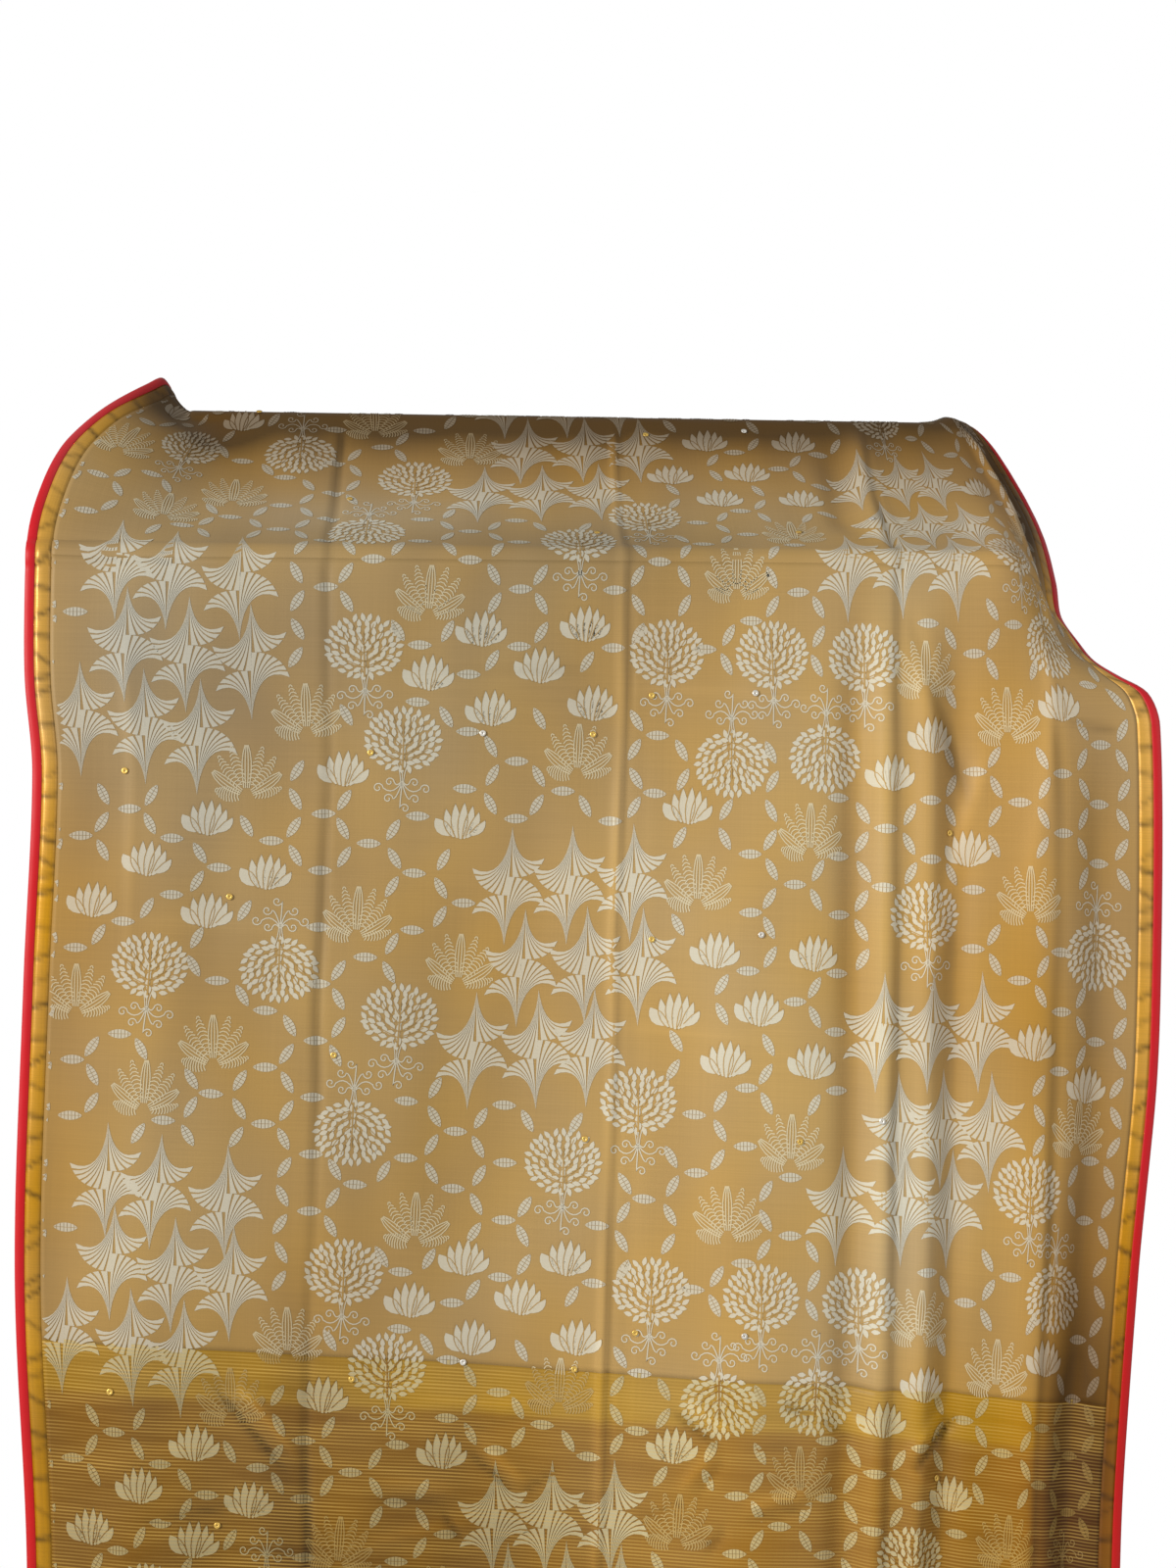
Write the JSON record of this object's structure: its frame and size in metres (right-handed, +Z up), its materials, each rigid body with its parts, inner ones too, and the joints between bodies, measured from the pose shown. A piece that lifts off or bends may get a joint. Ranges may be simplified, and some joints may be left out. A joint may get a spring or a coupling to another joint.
{
  "type": "saree hung over a two-bar rail",
  "caption": "Printed saree with gold borders and red piping, hung over a two-bar rail: front fall and pallu before, doubled rear fall behind.",
  "frame": {"origin": "middle of the rear bar's axis, where the rail is held", "axes": "+X to the viewer's right along the bars, +Y from the front fall to the rear fall, +Z up"},
  "size_m": [1.0974, 0.2683, 1.8698],
  "materials": {
    "cloth": "fine semi-sheer silk and cotton, tan gold with an off-white block print, soft sheen",
    "pallu_cloth": "the same cloth with thin woven gold cross stripes",
    "zari": "puckered gold thread ribbon with a metallic sheen",
    "piping": "bright red satin binding",
    "rail": "dark satin paint"
  },
  "bodies": {
    "root": {"front_fall": "cloth", "top_slope": "cloth", "rear_fall": "cloth", "rear_inner": "cloth", "pallu": "pallu_cloth", "border_left": "zari", "border_right": "zari", "piping_left": "piping", "piping_right": "piping", "piping_end": "piping", "rail_rear": "rail", "rail_front": "rail", "arm_left": "rail", "arm_right": "rail"}
  },
  "joints": []
}
